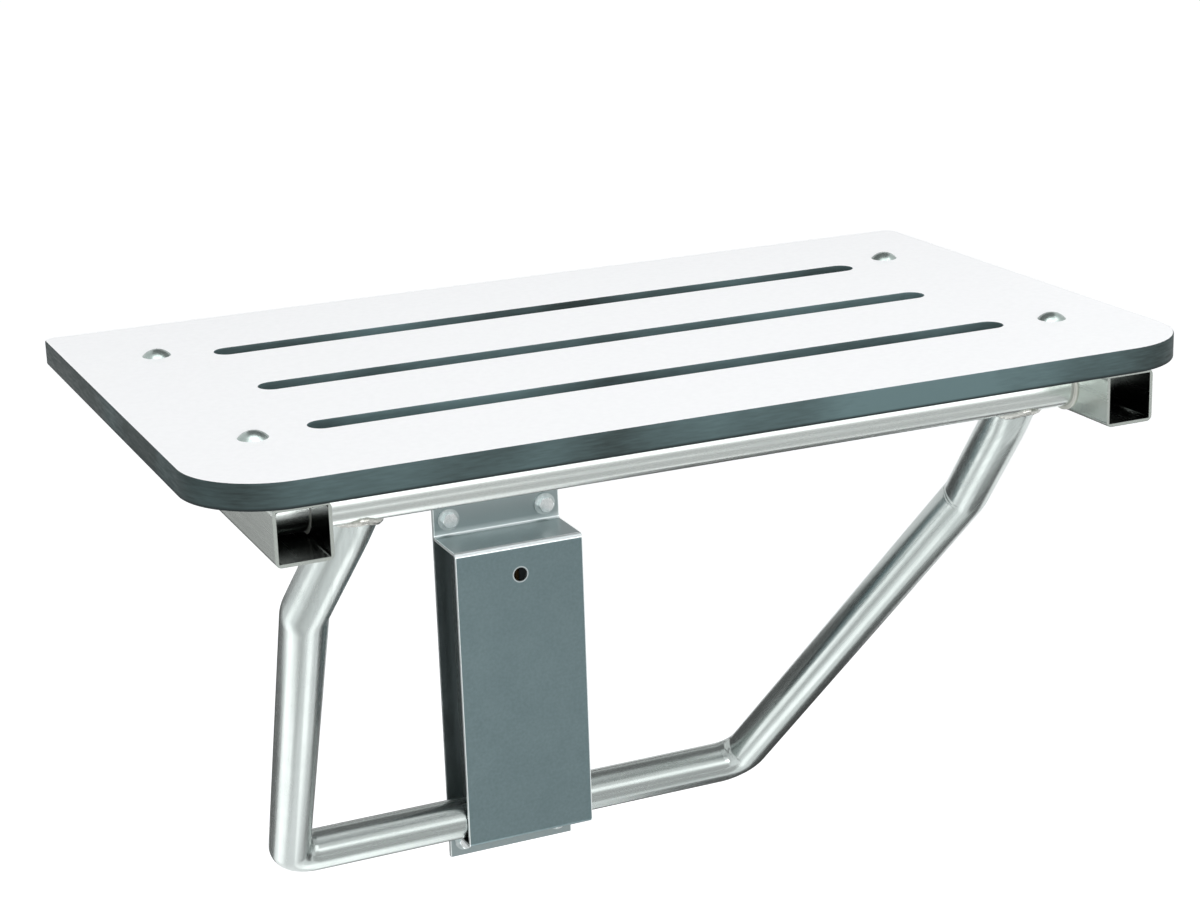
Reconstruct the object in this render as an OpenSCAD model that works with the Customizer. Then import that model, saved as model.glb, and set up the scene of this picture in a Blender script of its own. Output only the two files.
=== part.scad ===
// Fold down wall seat: a laminate seat panel on two square tubes that swing up from
// wall hinges, and a bent tube leg whose foot bar slides up inside a wall guide.
// The wall is the plane y = 0 and the seat stands out from it towards -Y.
// The origin is on the wall, at the middle of the four screws of the wall guide.

/* [Seat panel] */
// Width of the seat panel, left to right
seat_w = 610; // [560:5:700]
// Depth of the seat panel, back to front
seat_d = 368; // [350:2:410]
// Thickness of the seat panel
seat_t = 15; // [12:0.5:20]
// Radius of the two front corners
seat_front_r = 50; // [30:1:70]
// Radius of the two back corners
seat_back_r = 8; // [5:1:20]
// Width of the eased edge round the panel
seat_edge = 1.5; // [0.5:0.1:3]
// Gap between the wall and the back edge of the panel
wall_gap = 22; // [20:1:30]

/* [Drain slots] */
// Distance from the side edges of the panel to the ends of the slots
slot_side = 85; // [70:1:120]
// Width of each drain slot
slot_w = 16.5; // [10:0.5:22]
// Distance from one slot to the next
slot_pitch = 92; // [60:1:100]
// Width of the eased edge of each slot
slot_edge = 0.8; // [0.4:0.1:1.2]

/* [Panel bolts] */
// Distance of the bolts, and of the square tubes, from the side edge of the panel
bolt_side = 52; // [45:1:60]
// Distance of the back bolts from the back edge of the panel
bolt_back = 80; // [60:1:100]
// Distance of the front bolts from the front edge of the panel
bolt_front = 86; // [80:1:110]
// Radius of the bolt shank
bolt_r = 4; // [3:0.1:5]
// Radius of the domed bolt head
bolt_head_r = 8.6; // [7:0.1:10]
// Height of the domed bolt head
bolt_head_h = 4; // [3:0.1:4.5]
// Width across the flats of the nut inside the square tube
bolt_nut_af = 13; // [11:0.5:15]
// Height of the nut
bolt_nut_h = 6.5; // [5:0.1:8]
// Radius of the washer above the nut
bolt_washer_r = 9; // [8:0.1:11]
// Thickness of the washer above the nut
bolt_washer_t = 1.6; // [1:0.1:2.5]
// Length of the bolt's end past its nut
bolt_end = 3; // [1:0.5:5]

/* [Square tubes] */
// Outside width and height of the square tubes
tube_a = 31.75; // [31:0.05:34]
// Wall of the square tubes
tube_wall = 2; // [1.5:0.1:3]
// Outside corner radius of the square tubes
tube_corner_r = 3.5; // [3.2:0.1:5]
// Distance of the open front ends behind the front edge of the panel
tube_inset = 4; // [2:0.5:10]
// Distance of the back ends behind the hinge axis
tube_tail = 13; // [11:0.5:14]

/* [Wall hinges] */
// Distance of the hinge axis from the wall
pivot_out = 36.5; // [36:0.1:38]
// Angle through which the seat folds up
fold_angle = 87; // [84:0.5:88]
// Thickness of the wall plate
plate_t = 4; // [3:0.5:5]
// Width of the wall plate
plate_w = 66; // [60:1:70]
// Height of the wall plate
plate_h = 44; // [40:1:50]
// Corner radius of the wall plate
plate_r = 5; // [3:0.5:7]
// Distance between the plate's screw holes, left to right
plate_hole_x = 36; // [32:0.5:40]
// Distance between the plate's screw holes, top to bottom
plate_hole_z = 22; // [18:0.5:26]
// Radius of the plate's screw holes
plate_hole_r = 3.5; // [2.5:0.1:4]
// Thickness of the hinge ear
ear_t = 6; // [4:0.5:8]
// Radius of the ear round the hinge axis
ear_r = 13; // [11:0.5:14]
// Height of the ear's arm, which runs back to the wall plate
ear_arm = 16; // [12:0.5:20]
// Radius of the inside corner of the ear
ear_inside_r = 4; // [2:0.5:5]
// Radius of the hinge bolt
hinge_bolt_r = 4.76; // [4:0.01:5.5]
// Width across the flats of the hinge bolt's head and nut
hinge_hex_af = 14.3; // [13:0.1:17]
// Height of the hinge bolt's head and nut
hinge_hex_h = 6; // [5:0.5:8]
// Length of the hinge bolt's end past its nut
bolt_tail = 2.5; // [1:0.5:4]
// Radius of the hinge bolt's washers
hinge_washer_r = 10; // [9:0.1:11]
// Thickness of the hinge bolt's washers
hinge_washer_t = 2; // [1:0.1:2.5]
// Wall of the sleeve on the hinge bolt
sleeve_wall = 1.5; // [1:0.1:2]
// Wall of the hinge bushes
bush_wall = 1.6; // [1.2:0.1:2]
// Thickness of the flange of the hinge bushes
bush_flange_t = 1.2; // [0.8:0.1:1.6]
// Length of a hinge bush inside the square tube
bush_l = 9; // [6:0.5:12]

/* [Leg frame] */
// Distance of the cross tube's axis behind the front edge of the panel
cross_setback = 49; // [44:0.5:60]
// Outside radius of the cross tube
cross_r = 12.7; // [11:0.1:13.5]
// Outside radius of the leg tube
leg_r = 14.3; // [13:0.1:15]
// Wall of the cross tube and of the leg tube
leg_wall = 1.65; // [1.2:0.05:2.5]
// Height from the foot bar's axis up to the cross tube's axis
leg_drop = 351; // [330:1:375]
// Distance of a leg's upper end inside the square tube beside it
leg_top_gap = 30; // [26:0.5:40]
// Distance by which a leg spreads from its upper end to its upper bend
leg_spread = 12; // [4:0.5:13]
// Distance by which a leg draws in from its upper bend to the foot bar
leg_draw = 46; // [30:1:70]
// Share of the leg's length that lies above its upper bend
leg_bend_share = 0.25; // [0.18:0.01:0.3]
// Radius of the upper bend, on the tube's axis
bend_upper_r = 40; // [25:1:60]
// Radius of the lower bend, on the tube's axis
bend_lower_r = 21; // [19:0.5:40]

/* [Wall guide] */
// Width of the wall guide
guide_w = 94; // [80:1:110]
// Thickness of the guide's sheet
guide_t = 2; // [1.5:0.1:3]
// Inside radius of the guide's bends
guide_bend_r = 1.6; // [1:0.1:2]
// Height of each flange of the guide
guide_flange = 24; // [20:0.5:30]
// Distance of the foot bar's axis from the wall
bar_out = 27; // [26.5:0.1:28]
// Clearance of the foot bar in front
bar_front_gap = 0.7; // [0.5:0.1:1.5]
// Radius of the round hole near the top of the guide's front
guide_hole_r = 5; // [3:0.1:7]
// Distance of that hole below the top of the guide's front
guide_hole_drop = 22; // [18:0.5:30]
// Distance of the guide's screws from its side edges
screw_side = 11; // [9:0.5:16]
// Radius of the guide screws' shanks
screw_r = 2.4; // [2.3:0.1:3]
// Distance that the thick shank runs behind the wall plane
screw_shank_l = 2; // [1.5:0.5:6]
// Radius of the screws past their shanks, in the wall
screw_core_r = 2.2; // [1.8:0.1:2.2]
// Length of the guide screws behind the wall plane
screw_l = 30; // [20:1:45]
// Length of the guide screws' points
screw_tip_l = 5; // [3:0.5:8]
// Width across the flats of the guide screws' hexagon heads
screw_head_af = 10; // [8:0.1:12]
// Height of the guide screws' heads
screw_head_h = 4; // [3:0.1:5]
// Radius of the guide screws' washers
screw_washer_r = 7.8; // [7:0.1:8.5]
// Thickness of the guide screws' washers
screw_washer_t = 1.2; // [0.8:0.1:2]
// Thickness of the back plate between the guide and the wall
back_plate_t = 1.5; // [1:0.1:2.5]
// Width of the wear pad
pad_w = 70; // [50:1:76]
// Width of the retaining spring
spring_w = 22; // [14:0.5:30]
// Thickness of the retaining spring
spring_t = 0.8; // [0.5:0.1:1]

/* [Hidden] */

$fn = 96;
// How far a cut runs past the face that it opens
overrun = 1;
// Clearance between a part that turns and the one that carries it
turn_gap = 0.1;
// Clearance between parts that are fixed together
seat_gap = 0.05;
// Clearance between parts that pass each other
run_gap = 0.3;
// How much the leg tube's wall thickens in its bends, on each side
bend_swell = 0.1;
// How far a straight stretch of the leg tube runs into a bend
bend_lap = 0.3;
// Length of the cross tube's end studs, as a share of the square tube's width
spigot_share = 0.25;
// Height of the leg's trimmed top below the cross tube's axis, as a share of the cross tube's radius
cope_share = 0.33;
// Lengths of the retaining spring's foot and bow and of its pocket, as shares of the foot bar's radius
spring_foot_share = 1.2;
spring_bow_share = 2.4;
pocket_share = 4;
// Radius of the spring's rivet heads, and their distance from the middle, as shares of the spring's width
rivet_r_share = 0.12;
rivet_x_share = 0.25;

white_laminate = [0.95, 0.95, 0.95];
brushed_steel = [0.72, 0.74, 0.74];
guide_steel = [0.52, 0.57, 0.59];
zinc_steel = [0.78, 0.80, 0.81];
dark_plastic = [0.16, 0.18, 0.18];
pale_plastic = [0.85, 0.85, 0.82];

// Plan of the mechanism: "out" is a distance from the wall, and heights are taken from the hinge axis
cross_out = wall_gap + seat_d - cross_setback;
crank = cross_out - pivot_out;
leg_reach = cross_out - bar_out;
leg_len = sqrt(leg_reach * leg_reach + leg_drop * leg_drop);
leg_tilt = atan2(leg_reach, leg_drop);
folded_out = pivot_out + crank * cos(fold_angle);
folded_lean = folded_out - bar_out;
folded_height = crank * sin(fold_angle) - sqrt(leg_len * leg_len - folded_lean * folded_lean);
bar_travel = folded_height + leg_drop;

// Heights above the origin
guide_h = bar_travel + 2 * leg_r + 2 * run_gap + 2 * guide_t;
bar_z = run_gap + leg_r + guide_t - guide_h / 2;
pivot_z = bar_z + leg_drop;
seat_z = pivot_z + tube_a / 2;
screw_z = guide_h / 2 + guide_flange / 2;

// Places across the seat
slot_l = seat_w - 2 * slot_side;
screw_x = guide_w - 2 * screw_side;
tube_x = seat_w / 2 - bolt_side;
tube_inner_x = tube_x - tube_a / 2;
leg_top_x = tube_inner_x - leg_top_gap;
leg_bend_x = leg_top_x + leg_spread;
leg_foot_x = leg_bend_x - leg_draw;
bar_end_x = guide_w / 2 + run_gap;

// Sizes of the wall guide, from the wall outwards
guide_depth = bar_out + leg_r + bar_front_gap + guide_t;
pad_t = bar_out - leg_r - run_gap - back_plate_t;
guide_inner_h = guide_h - 2 * guide_t;

// Sizes of the hinge, along its bolt
sleeve_r = hinge_bolt_r + turn_gap + sleeve_wall;
bush_bore_r = sleeve_r + turn_gap;
bush_r = bush_bore_r + bush_wall;
bush_flange_r = min(ear_r - bush_wall, tube_a / 2 - tube_wall);
ear_in = tube_a / 2 + bush_flange_t + run_gap;
ear_out = ear_in + ear_t;
panel_reach = seat_t + tube_a / 2;
panel_sweep = norm([pivot_out - wall_gap, panel_reach]);
plate_clear = pivot_out - plate_t;
plate_top = -sqrt(max(0, panel_sweep * panel_sweep - plate_clear * plate_clear)) - 2 * run_gap;
arm_top = wall_gap - pivot_out - 2 * run_gap;

// Sizes of the leg frame's own pivot in the square tubes
leg_bush_r = cross_r + turn_gap + bush_wall;
spigot_r = cross_r - leg_wall - turn_gap;
spigot_base_t = tube_wall;
spigot_l = spigot_share * tube_a;
tube_far_x = tube_x + tube_a / 2 - tube_wall;
cross_half = tube_far_x - spigot_base_t - run_gap;

// A flat shape with its X and Y laid along -Y (out from the wall) and Z, drawn out along X
module across(t) {
    rotate([90, 0, 90])
        linear_extrude(height = t, center = true)
            mirror([1, 0])
                children();
}

// A rod along X, centred
module rod_x(r, l) {
    rotate([0, 90, 0])
        cylinder(r = r, h = l, center = true);
}

// A tube along X, centred
module pipe_x(r, bore, l) {
    difference() {
        rod_x(r, l);
        rod_x(bore, l + 2 * overrun);
    }
}

// A rectangle with round corners, centred
module round_rect(w, h, r) {
    square([w - 2 * r, h], center = true);
    square([w, h - 2 * r], center = true);
    for (x = [-1, 1], y = [-1, 1])
        translate([x * (w / 2 - r), y * (h / 2 - r)])
            circle(r = r);
}

// The web between a square corner and the round of radius r inside it; sx and sy point into the corner
module corner_web(sx, sy, r) {
    mirror([sx < 0 ? 1 : 0, 0])
        mirror([0, sy < 0 ? 1 : 0])
            difference() {
                translate([-overrun, -overrun])
                    square(r + overrun);
                translate([r, r])
                    circle(r = r);
            }
}

// Half the section of a plate with eased edges, from a straight back at x = 0 to its edge at x = w
module eased_section(w, t, edge) {
    polygon([
        [0, 0], [w - edge, 0], [w, edge],
        [w, t - edge], [w - edge, t], [0, t]
    ]);
}

// A disc with eased edges
module eased_disc(r) {
    rotate_extrude()
        eased_section(r, seat_t, seat_edge);
}

// A strip of the panel whose eased edge looks along +X, of length l along Y
module eased_strip(w, l) {
    rotate([90, 0, 0])
        linear_extrude(height = l, center = true)
            eased_section(w, seat_t, seat_edge);
}

// The cut of one drain slot, with its upper edge eased
module slot_cut() {
    half = slot_l / 2 - slot_w / 2;
    rise = slot_edge + overrun;
    translate([-half, -slot_w / 2, -overrun])
        cube([2 * half, slot_w, seat_t + 2 * overrun]);
    for (x = [-half, half]) {
        translate([x, 0, -overrun])
            cylinder(r = slot_w / 2, h = seat_t + 2 * overrun);
        translate([x, 0, seat_t - slot_edge])
            cylinder(r1 = slot_w / 2, r2 = slot_w / 2 + rise, h = rise);
    }
    translate([-half, 0, seat_t - slot_edge])
        rotate([90, 0, 90])
            linear_extrude(height = 2 * half)
                polygon([
                    [-slot_w / 2, 0], [slot_w / 2, 0],
                    [slot_w / 2 + rise, rise], [-slot_w / 2 - rise, rise]
                ]);
}

// Places its children at the four panel bolts
module at_bolts() {
    for (x = [-tube_x, tube_x], y = [bolt_back, seat_d - bolt_front])
        translate([x, -wall_gap - y, 0])
            children();
}

module seat_panel() {
    back_y = -wall_gap;
    front_y = -wall_gap - seat_d;
    color(white_laminate)
        translate([0, 0, seat_z])
            difference() {
                union() {
                    for (s = [-1, 1]) {
                        translate([s * (seat_w / 2 - seat_front_r), front_y + seat_front_r, 0])
                            eased_disc(seat_front_r);
                        translate([s * (seat_w / 2 - seat_back_r), back_y - seat_back_r, 0])
                            eased_disc(seat_back_r);
                    }
                    for (s = [0, 1])
                        mirror([s, 0, 0])
                            translate([0, (front_y + seat_front_r + back_y - seat_back_r) / 2, 0])
                                eased_strip(seat_w / 2, seat_d - seat_front_r - seat_back_r);
                    translate([0, front_y + seat_front_r, 0])
                        rotate([0, 0, -90])
                            eased_strip(seat_front_r, seat_w - 2 * seat_front_r);
                    translate([0, back_y - seat_back_r, 0])
                        rotate([0, 0, 90])
                            eased_strip(seat_back_r, seat_w - 2 * seat_back_r);
                }
                for (k = [-1, 0, 1])
                    translate([0, back_y - seat_d / 2 + k * slot_pitch, 0])
                        slot_cut();
                at_bolts()
                    translate([0, 0, -overrun])
                        cylinder(r = bolt_r + run_gap, h = seat_t + 2 * overrun);
            }
}

// One square tube of the seat frame: side is 1 on the right and -1 on the left
module frame_tube(side) {
    front_out = wall_gap + seat_d - tube_inset;
    back_out = pivot_out - tube_tail;
    color(brushed_steel)
        difference() {
            translate([side * tube_x, -back_out, pivot_z])
                rotate([90, 0, 0])
                    linear_extrude(height = front_out - back_out)
                        difference() {
                            round_rect(tube_a, tube_a, tube_corner_r);
                            round_rect(tube_a - 2 * tube_wall, tube_a - 2 * tube_wall, tube_corner_r - tube_wall);
                        }
            translate([side * tube_x, -pivot_out, pivot_z])
                rod_x(bush_r + seat_gap, tube_a + 2 * overrun);
            translate([side * tube_inner_x, -cross_out, pivot_z])
                rod_x(leg_bush_r + seat_gap, 2 * tube_wall + overrun);
            at_bolts()
                translate([0, 0, pivot_z])
                    cylinder(r = bolt_r + run_gap, h = tube_a);
        }
}

module frame_tube_left() {
    frame_tube(-1);
}

module frame_tube_right() {
    frame_tube(1);
}

// One domed bolt with its square neck, its head standing on z = 0
module dome_bolt() {
    dome_r = (bolt_head_r * bolt_head_r + bolt_head_h * bolt_head_h) / (2 * bolt_head_h);
    shank_l = seat_t + tube_wall + bolt_washer_t + bolt_nut_h + bolt_end;
    neck = bolt_r * sqrt(2);
    intersection() {
        translate([0, 0, bolt_head_h - dome_r])
            sphere(r = dome_r);
        cylinder(r = bolt_head_r, h = dome_r);
    }
    translate([0, 0, -shank_l])
        cylinder(r = bolt_r, h = shank_l);
    translate([-neck / 2, -neck / 2, -bolt_r])
        cube([neck, neck, bolt_r]);
}

module seat_bolts() {
    color(zinc_steel)
        at_bolts()
            translate([0, 0, seat_z + seat_t])
                dome_bolt();
}

module seat_bolt_washers() {
    color(zinc_steel)
        at_bolts()
            translate([0, 0, seat_z - tube_wall - bolt_washer_t])
                difference() {
                    cylinder(r = bolt_washer_r, h = bolt_washer_t);
                    translate([0, 0, -overrun])
                        cylinder(r = bolt_r + run_gap, h = bolt_washer_t + 2 * overrun);
                }
}

module seat_bolt_nuts() {
    color(zinc_steel)
        at_bolts()
            translate([0, 0, seat_z - tube_wall - bolt_washer_t - bolt_nut_h])
                difference() {
                    cylinder(r = bolt_nut_af / sqrt(3), h = bolt_nut_h, $fn = 6);
                    translate([0, 0, -overrun])
                        cylinder(r = bolt_r + seat_gap, h = bolt_nut_h + 2 * overrun);
                }
}

// Outline of the hinge ear, measured out from the wall and up from the hinge axis
module ear_outline() {
    neck = pivot_out - ear_r;
    foot_low = arm_top - ear_arm;
    difference() {
        union() {
            translate([pivot_out, 0])
                circle(r = ear_r);
            translate([neck, foot_low])
                square([2 * ear_r, -foot_low]);
            translate([plate_t / 2, foot_low])
                square([pivot_out - plate_t / 2, ear_arm]);
            translate([neck, arm_top])
                corner_web(-1, 1, ear_inside_r);
        }
        translate([pivot_out + ear_r, foot_low])
            corner_web(-1, 1, ear_r);
    }
}

// One wall hinge bracket: a wall plate and the ear that stands on its outer end
module hinge_bracket(side) {
    ear_mid = -ear_in - ear_t / 2;
    plate_mid = plate_top - plate_h / 2;
    color(brushed_steel)
        at_hinge(side)
            difference() {
                union() {
                    translate([-ear_in - plate_w / 2, pivot_out, plate_mid])
                        rotate([90, 0, 0])
                            linear_extrude(height = plate_t)
                                round_rect(plate_w, plate_h, plate_r);
                    translate([ear_mid, pivot_out, 0])
                        across(ear_t)
                            ear_outline();
                }
                translate([ear_mid, 0, 0])
                    rod_x(hinge_bolt_r + turn_gap, ear_t + 2 * overrun);
                for (x = [-1, 1], z = [-1, 1])
                    translate([
                        ear_mid - plate_w / 2 + x * plate_hole_x / 2,
                        pivot_out,
                        plate_mid + z * plate_hole_z / 2
                    ])
                        rotate([90, 0, 0])
                            cylinder(r = plate_hole_r, h = 2 * (plate_t + overrun), center = true);
            }
}

module hinge_bracket_left() {
    hinge_bracket(-1);
}

module hinge_bracket_right() {
    hinge_bracket(1);
}

// Places its children at a hinge, with +X looking to the outside of the seat
module at_hinge(side) {
    translate([side * tube_x, -pivot_out, pivot_z])
        scale([side, 1, 1])
            children();
}

// A hinge bolt: its head outside the square tube, its end past the nut on the ear's inner side
module hinge_bolt(side) {
    head_x = ear_in + hinge_washer_t;
    tail_x = ear_out + hinge_washer_t + hinge_hex_h + bolt_tail;
    color(zinc_steel)
        at_hinge(side) {
            translate([(head_x - tail_x) / 2, 0, 0])
                rod_x(hinge_bolt_r, head_x + tail_x);
            translate([head_x, 0, 0])
                rotate([0, 90, 0])
                    cylinder(r = hinge_hex_af / sqrt(3), h = hinge_hex_h, $fn = 6);
        }
}

module hinge_bolt_left() {
    hinge_bolt(-1);
}

module hinge_bolt_right() {
    hinge_bolt(1);
}

module hinge_sleeve(side) {
    color(zinc_steel)
        at_hinge(side)
            pipe_x(sleeve_r, hinge_bolt_r + turn_gap, 2 * ear_in - 2 * seat_gap);
}

module hinge_sleeve_left() {
    hinge_sleeve(-1);
}

module hinge_sleeve_right() {
    hinge_sleeve(1);
}

module hinge_nuts() {
    color(zinc_steel)
        for (side = [-1, 1])
            at_hinge(side)
                translate([-ear_out - hinge_washer_t - hinge_hex_h, 0, 0])
                    rotate([0, 90, 0])
                        difference() {
                            cylinder(r = hinge_hex_af / sqrt(3), h = hinge_hex_h, $fn = 6);
                            translate([0, 0, -overrun])
                                cylinder(r = hinge_bolt_r + seat_gap, h = hinge_hex_h + 2 * overrun);
                        }
}

module hinge_washers() {
    color(zinc_steel)
        for (side = [-1, 1], x = [ear_in + hinge_washer_t / 2, -ear_out - hinge_washer_t / 2])
            at_hinge(side)
                translate([x, 0, 0])
                    pipe_x(hinge_washer_r, hinge_bolt_r + seat_gap, hinge_washer_t);
}

// The two flanged bushes in the side walls of one square tube
module hinge_bushes(side) {
    color(pale_plastic)
        at_hinge(side)
            for (end = [-1, 1])
                difference() {
                    union() {
                        translate([end * (tube_a / 2 - bush_l / 2), 0, 0])
                            rod_x(bush_r, bush_l);
                        translate([end * (tube_a / 2 + bush_flange_t / 2), 0, 0])
                            rod_x(bush_flange_r, bush_flange_t);
                    }
                    rod_x(bush_bore_r, 2 * tube_a);
                }
}

module hinge_bushes_left() {
    hinge_bushes(-1);
}

module hinge_bushes_right() {
    hinge_bushes(1);
}

// The flanged bush in which the cross tube turns, in the inner wall of the square tube
module leg_bush(side) {
    color(pale_plastic)
        scale([side, 1, 1])
            translate([tube_inner_x, -cross_out, pivot_z])
                difference() {
                    union() {
                        translate([tube_wall / 2, 0, 0])
                            rod_x(leg_bush_r, tube_wall);
                        translate([-bush_flange_t / 2, 0, 0])
                            rod_x(leg_bush_r + bush_flange_t / 2, bush_flange_t);
                    }
                    rod_x(cross_r + turn_gap, 2 * tube_a);
                }
}

module leg_bush_left() {
    leg_bush(-1);
}

module leg_bush_right() {
    leg_bush(1);
}

// The stud inside the outer wall of a square tube, on which the cross tube's end turns
module pivot_spigot(side) {
    color(zinc_steel)
        scale([side, 1, 1])
            translate([tube_far_x, -cross_out, pivot_z]) {
                translate([-spigot_base_t / 2, 0, 0])
                    rod_x(cross_r, spigot_base_t);
                translate([-spigot_base_t - spigot_l / 2, 0, 0])
                    rod_x(spigot_r, spigot_l);
            }
}

module pivot_spigot_left() {
    pivot_spigot(-1);
}

module pivot_spigot_right() {
    pivot_spigot(1);
}

module cross_tube() {
    color(brushed_steel)
        translate([0, -cross_out, pivot_z])
            pipe_x(cross_r, cross_r - leg_wall, 2 * cross_half);
}

// Unit vector and length between two points of the leg's plane
function leg_dir(a, b) = (b - a) / norm(b - a);
// Signed angle from one direction to another in the leg's plane
function turn(d, e) = atan2(d[0] * e[1] - d[1] * e[0], d[0] * e[0] + d[1] * e[1]);

// The ring section of the leg tube, its wall thickened by swell on both sides
module leg_ring(swell) {
    difference() {
        circle(r = leg_r + swell);
        circle(r = leg_r - leg_wall - swell);
    }
}

// A straight stretch of the leg tube from a to b in the XZ plane
module run(a, b) {
    translate([a[0], 0, a[1]])
        rotate([0, atan2(b[0] - a[0], b[1] - a[1]), 0])
            linear_extrude(height = norm(b - a))
                leg_ring(0);
}

// The bend of radius bend_r in the leg tube at corner c, between directions d and e
module elbow(c, d, e, bend_r) {
    angle = turn(d, e);
    side = sign(angle);
    reach = bend_r * tan(abs(angle) / 2);
    start = c - d * reach;
    centre = start + side * bend_r * [-d[1], d[0]];
    from = atan2(start[1] - centre[1], start[0] - centre[0]);
    translate([centre[0], 0, centre[1]])
        rotate([90, 0, 0])
            rotate([0, 0, min(from, from + angle)])
                rotate_extrude(angle = abs(angle))
                    translate([bend_r, 0])
                        leg_ring(bend_swell);
}

// The leg's centre line: upper end, upper bend, lower bend and inner end of the foot bar
leg_line = [
    [leg_top_x, 0],
    [leg_bend_x, -leg_bend_share * leg_len],
    [leg_foot_x, -leg_len],
    [bar_end_x, -leg_len]
];
leg_dirs = [for (i = [0:2]) leg_dir(leg_line[i], leg_line[i + 1])];
upper_reach = bend_upper_r * tan(abs(turn(leg_dirs[0], leg_dirs[1])) / 2);
lower_reach = bend_lower_r * tan(abs(turn(leg_dirs[1], leg_dirs[2])) / 2);

// The whole bent tube along the leg's centre line, its straight stretches run into the bends
module leg_tube() {
    upper_stop = upper_reach - bend_lap;
    lower_stop = lower_reach - bend_lap;
    run(leg_line[0], leg_line[1] - upper_stop * leg_dirs[0]);
    elbow(leg_line[1], leg_dirs[0], leg_dirs[1], bend_upper_r);
    run(leg_line[1] + upper_stop * leg_dirs[1], leg_line[2] - lower_stop * leg_dirs[1]);
    elbow(leg_line[2], leg_dirs[1], leg_dirs[2], bend_lower_r);
    run(leg_line[2] + lower_stop * leg_dirs[2], leg_line[3]);
}

// One bent leg, coped over the cross tube at its upper end
module leg(side) {
    cope_w = 2 * (leg_r + cross_r);
    color(brushed_steel)
        translate([0, -cross_out, pivot_z])
            rotate([leg_tilt, 0, 0])
                scale([side, 1, 1])
                    difference() {
                        leg_tube();
                        translate([leg_top_x, 0, 0])
                            rod_x(cross_r + seat_gap, cope_w);
                        translate([leg_top_x, 0, leg_r - cope_share * cross_r])
                            cube([cope_w, cope_w, 2 * leg_r], center = true);
                    }
}

module leg_left() {
    leg(-1);
}

module leg_right() {
    leg(1);
}

// The middle of the foot bar, which runs up and down inside the wall guide
module slide_bar() {
    color(brushed_steel)
        translate([0, -bar_out, bar_z])
            pipe_x(leg_r, leg_r - leg_wall, guide_w);
}

// Places its children at the four guide screws, with +Z looking out from the wall
module at_guide_screws(out) {
    for (x = [-1, 1], z = [-1, 1])
        translate([x * screw_x / 2, -out, z * screw_z])
            rotate([90, 0, 0])
                children();
}

// Upper half of the side view of the guide's folded sheet, out from the wall and up from the middle
module guide_half() {
    inner = guide_depth - guide_t;
    top = guide_h / 2;
    bend = guide_bend_r + guide_t;
    difference() {
        union() {
            translate([back_plate_t, top - guide_t])
                square([guide_t, guide_flange + guide_t]);
            translate([back_plate_t, top - guide_t])
                square([guide_depth - back_plate_t, guide_t]);
            translate([inner, -overrun])
                square([guide_t, top + overrun]);
            translate([back_plate_t + guide_t, top])
                corner_web(1, 1, guide_bend_r);
            translate([inner, top - guide_t])
                corner_web(-1, -1, guide_bend_r);
        }
        translate([guide_depth, top])
            corner_web(-1, -1, bend);
        translate([back_plate_t, top - guide_t])
            corner_web(1, 1, bend);
    }
}

module guide_outline() {
    guide_half();
    mirror([0, 1])
        guide_half();
}

module guide_bracket() {
    color(guide_steel)
        difference() {
            across(guide_w)
                guide_outline();
            translate([0, -guide_depth, guide_h / 2 - guide_hole_drop])
                rotate([90, 0, 0])
                    cylinder(r = guide_hole_r, h = 3 * guide_t, center = true);
            at_guide_screws(0)
                cylinder(r = screw_r + run_gap, h = guide_depth / 2);
        }
}

module guide_back_plate() {
    color(guide_steel)
        difference() {
            rotate([90, 0, 0])
                linear_extrude(height = back_plate_t)
                    square([guide_w, guide_h + 2 * guide_flange], center = true);
            at_guide_screws(0)
                cylinder(r = screw_r + run_gap, h = 3 * back_plate_t, center = true);
        }
}

// The pad behind the foot bar, with a pocket for the retaining spring
module wear_pad() {
    pad_h = guide_inner_h - 2 * run_gap;
    pocket_h = pocket_share * leg_r;
    color(dark_plastic)
        translate([0, -back_plate_t, 0])
            rotate([90, 0, 0])
                difference() {
                    linear_extrude(height = pad_t)
                        round_rect(pad_w, pad_h, guide_t);
                    translate([0, pad_h / 2 - pocket_h / 2, pad_t])
                        cube([spring_w + 4 * run_gap, pocket_h + 2 * overrun, pad_t], center = true);
                }
}

// Side view of the retaining spring: a flat foot, a bow and a lip, out from the pocket's floor
spring_foot = spring_foot_share * leg_r;
spring_bow_l = spring_bow_share * leg_r;
spring_bow_h = pad_t / 2 - spring_t;
spring_bow_r = (spring_bow_l * spring_bow_l / 4 + spring_bow_h * spring_bow_h) / (2 * spring_bow_h);

module spring_outline() {
    square([spring_t, spring_foot]);
    translate([spring_bow_h - spring_bow_r, spring_foot + spring_bow_l / 2])
        intersection() {
            difference() {
                circle(r = spring_bow_r + spring_t);
                circle(r = spring_bow_r);
            }
            translate([spring_bow_r - spring_bow_h, -spring_bow_l / 2])
                square([spring_bow_h + spring_t, spring_bow_l]);
        }
}

module retaining_spring() {
    pocket_floor = back_plate_t + pad_t / 2;
    color(zinc_steel)
        translate([0, 0, guide_inner_h / 2 - run_gap])
            mirror([0, 0, 1])
                across(spring_w)
                    translate([pocket_floor + seat_gap, 0])
                        spring_outline();
}

module spring_rivets() {
    pocket_floor = back_plate_t + pad_t / 2;
    color(zinc_steel)
        for (x = [-1, 1])
            translate([
                x * rivet_x_share * spring_w,
                -pocket_floor - seat_gap - spring_t,
                guide_inner_h / 2 - run_gap - spring_foot / 2
            ])
                rotate([90, 0, 0])
                    intersection() {
                        sphere(r = rivet_r_share * spring_w);
                        cylinder(r = rivet_r_share * spring_w, h = spring_w);
                    }
}

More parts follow.
